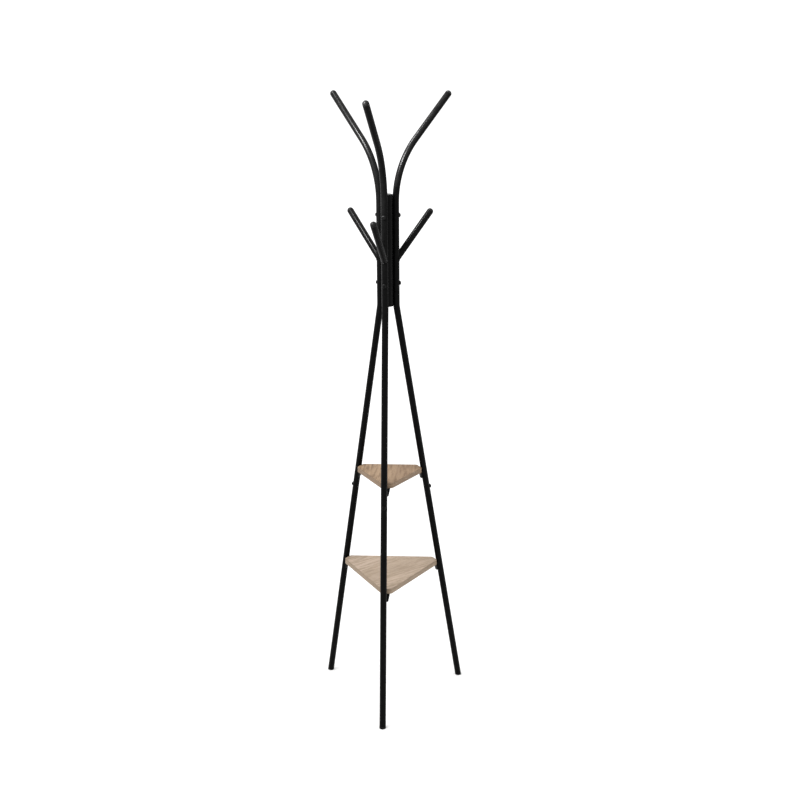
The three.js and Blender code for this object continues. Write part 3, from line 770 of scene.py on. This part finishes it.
def build_bracket(corner, shelf, level):
    """A bent flat strip: a rounded flange under the shelf and a tapered one welded to the leg."""
    spoke = corner.spoke
    half_width, half_toe = STRIP_WIDTH / 2, STRIP_TOE / 2
    mid_height = shelf.bottom - SEAM - STRIP / 2
    down = -spoke.leg_up
    turn = math.pi / 2 - spoke.lean
    tangent = STRIP_BEND * math.tan(turn / 2)
    leg_offset = (TUBE + SEAM + STRIP / 2) / math.cos(spoke.lean)
    leg_radius, leg_across = corner.leg_place(mid_height)
    bend_radius = leg_radius - leg_offset
    bend = AXIS + corner.outward * bend_radius + UP * mid_height
    flat_length = bend_radius - (shelf.cut - STRIP_REACH)
    leg_out = corner.across.cross(spoke.leg_up).normalized()

    sections = []
    for i in range(1, 13):
        angle = math.pi / 2 * i / 12
        distance = flat_length - half_width * (1 - math.cos(angle))
        sections.append((bend - corner.outward * distance, UP, half_width * math.sin(angle)))
    arc_centre = bend - corner.outward * tangent - UP * STRIP_BEND
    for i in range(9):
        angle = turn * i / 8
        normal = UP * math.cos(angle) + corner.outward * math.sin(angle)
        sections.append((arc_centre + STRIP_BEND * normal, normal, half_width))
    toe_start = STRIP_DROP - STRIP_TOE_CORNER
    sections.append((bend + down * toe_start, leg_out, half_toe))
    for i in range(1, 7):
        angle = math.pi / 2 * i / 6 * 0.97
        distance = toe_start + STRIP_TOE_CORNER * math.sin(angle)
        width = half_toe - STRIP_TOE_CORNER * (1 - math.cos(angle))
        sections.append((bend + down * distance, leg_out, width))
    plate = loft([strip_section(centre, corner.across, normal, width) for centre, normal, width in sections])

    shells = [plate]
    for way in (-1, 1):
        root = bend + leg_out * (STRIP / 2 - 0.0002) + (leg_across + way * STRIP_WELD) * corner.across
        outward = (way * corner.across + 0.25 * leg_out).normalized()
        places = [(root + down * (0.003 + 0.0005 * i), outward) for i in range(33)]
        shells.append(bead(places, looped=False))
    side = spoke.side
    make_piece(f"{level}_angle_{side}", shells, "bracket_black", f"{level}_bracket_{side}")
    seat = AXIS + corner.outward * (shelf.cut - SCREW_INSET) + UP * (mid_height - STRIP / 2 - SEAM)
    line = Line(seat, -UP, corner.across)
    shelf_screw(f"{level}_screw_{side}", line, f"{level}_shelf_screw_{side}")


# ---- assembly ------------------------------------------------------------------------------------
build_post()
for tree_spoke in SPOKES:
    build_hook(tree_spoke)
    build_peg(tree_spoke)
    build_leg(tree_spoke)
    build_foot(tree_spoke)
    build_hub_fasteners(tree_spoke)
for shelf_level, tree_shelf in SHELVES.items():
    build_shelf(tree_shelf, shelf_level)
    for shelf_corner in tree_shelf.corners:
        build_bracket(shelf_corner, tree_shelf, shelf_level)


# ---- studio --------------------------------------------------------------------------------------
CAMERA_PLACE = Vector((0.39836, -3.82178, 2.08969))  # from the post axis, at floor level
CAMERA_YAW, CAMERA_PITCH, CAMERA_ROLL = -5.440, -16.764, -0.341  # degrees
CAMERA_LENS = 62.397  # millimetres
FLOOR_REACH = 15
WORLD_STRENGTH = 1.2
SUN_ENERGY = 1.2
SUN_ANGLE = math.radians(50)
LAMP_SIZE = (0.14, 0.3)
LAMP_SPREAD = math.radians(38)


def add_camera(position, yaw, pitch, roll, lens):
    """Yaw is measured clockwise from +Y; pitch is up and roll is anticlockwise."""
    yaw, pitch, roll = (math.radians(angle) for angle in (yaw, pitch, roll))
    forward = Vector((math.sin(yaw) * math.cos(pitch), math.cos(yaw) * math.cos(pitch), math.sin(pitch)))
    level_right = Vector((math.cos(yaw), -math.sin(yaw), 0))
    level_up = level_right.cross(forward)
    right = level_right * math.cos(roll) + level_up * math.sin(roll)
    data = bpy.data.cameras.new("camera")
    data.sensor_width = 36
    data.lens = lens
    camera = bpy.data.objects.new("camera", data)
    axes = Matrix((right, right.cross(forward), -forward)).transposed()
    camera.matrix_world = Matrix.Translation(position) @ axes.to_4x4()
    bpy.context.scene.collection.objects.link(camera)
    bpy.context.scene.camera = camera


def add_floor(half_size):
    corners = [(x * half_size, y * half_size, 0) for x, y in ((-1, -1), (1, -1), (1, 1), (-1, 1))]
    mesh = bpy.data.meshes.new("floor")
    mesh.from_pydata(corners, [], [(0, 1, 2, 3)])
    shader = Shader("floor_paint", Roughness=0.9, Specular_IOR_Level=0.0)
    tone = shader.mix(shader.noise(shader.place, 3.0), grey(0.95), grey(0.97))
    mesh.materials.append(shader.wire(Base_Color=tone))
    floor = bpy.data.objects.new("floor", mesh)
    bpy.context.scene.collection.objects.link(floor)


def aimed(data, position, target):
    lamp = bpy.data.objects.new(data.name, data)
    position = Vector(position)
    lamp.rotation_euler = (Vector(target) - position).to_track_quat("-Z", "Y").to_euler()
    lamp.location = position
    lamp.visible_camera = False
    bpy.context.scene.collection.objects.link(lamp)


def add_strip(name, energy, position, target):
    """A gridded strip light near the hooks, which leaves the shelves and the floor alone."""
    strip = bpy.data.lights.new(name, "AREA")
    strip.shape = "RECTANGLE"
    strip.size, strip.size_y = LAMP_SIZE
    strip.energy = energy
    strip.spread = LAMP_SPREAD
    aimed(strip, position, target)


def add_light():
    world = bpy.data.worlds.new("studio")
    world.use_nodes = True
    background = world.node_tree.nodes["Background"]
    background.inputs["Color"].default_value = grey(1.0)
    background.inputs["Strength"].default_value = WORLD_STRENGTH
    bpy.context.scene.world = world
    sun = bpy.data.lights.new("sky_key", "SUN")
    sun.energy = SUN_ENERGY
    sun.angle = SUN_ANGLE
    aimed(sun, (-3.0, -1.6, 2.2), (0, 0, 0))
    add_strip("left_strip", 8, (-0.60, -0.62, 2.38), (0, 0.05, 1.74))
    add_strip("top_strip", 2.5, (-0.45, 0.0, 2.52), (0.12, 0.07, 1.68))


add_camera(AXIS + CAMERA_PLACE, CAMERA_YAW, CAMERA_PITCH, CAMERA_ROLL, CAMERA_LENS)
add_floor(FLOOR_REACH)
add_light()
bpy.context.scene.view_settings.view_transform = "Standard"
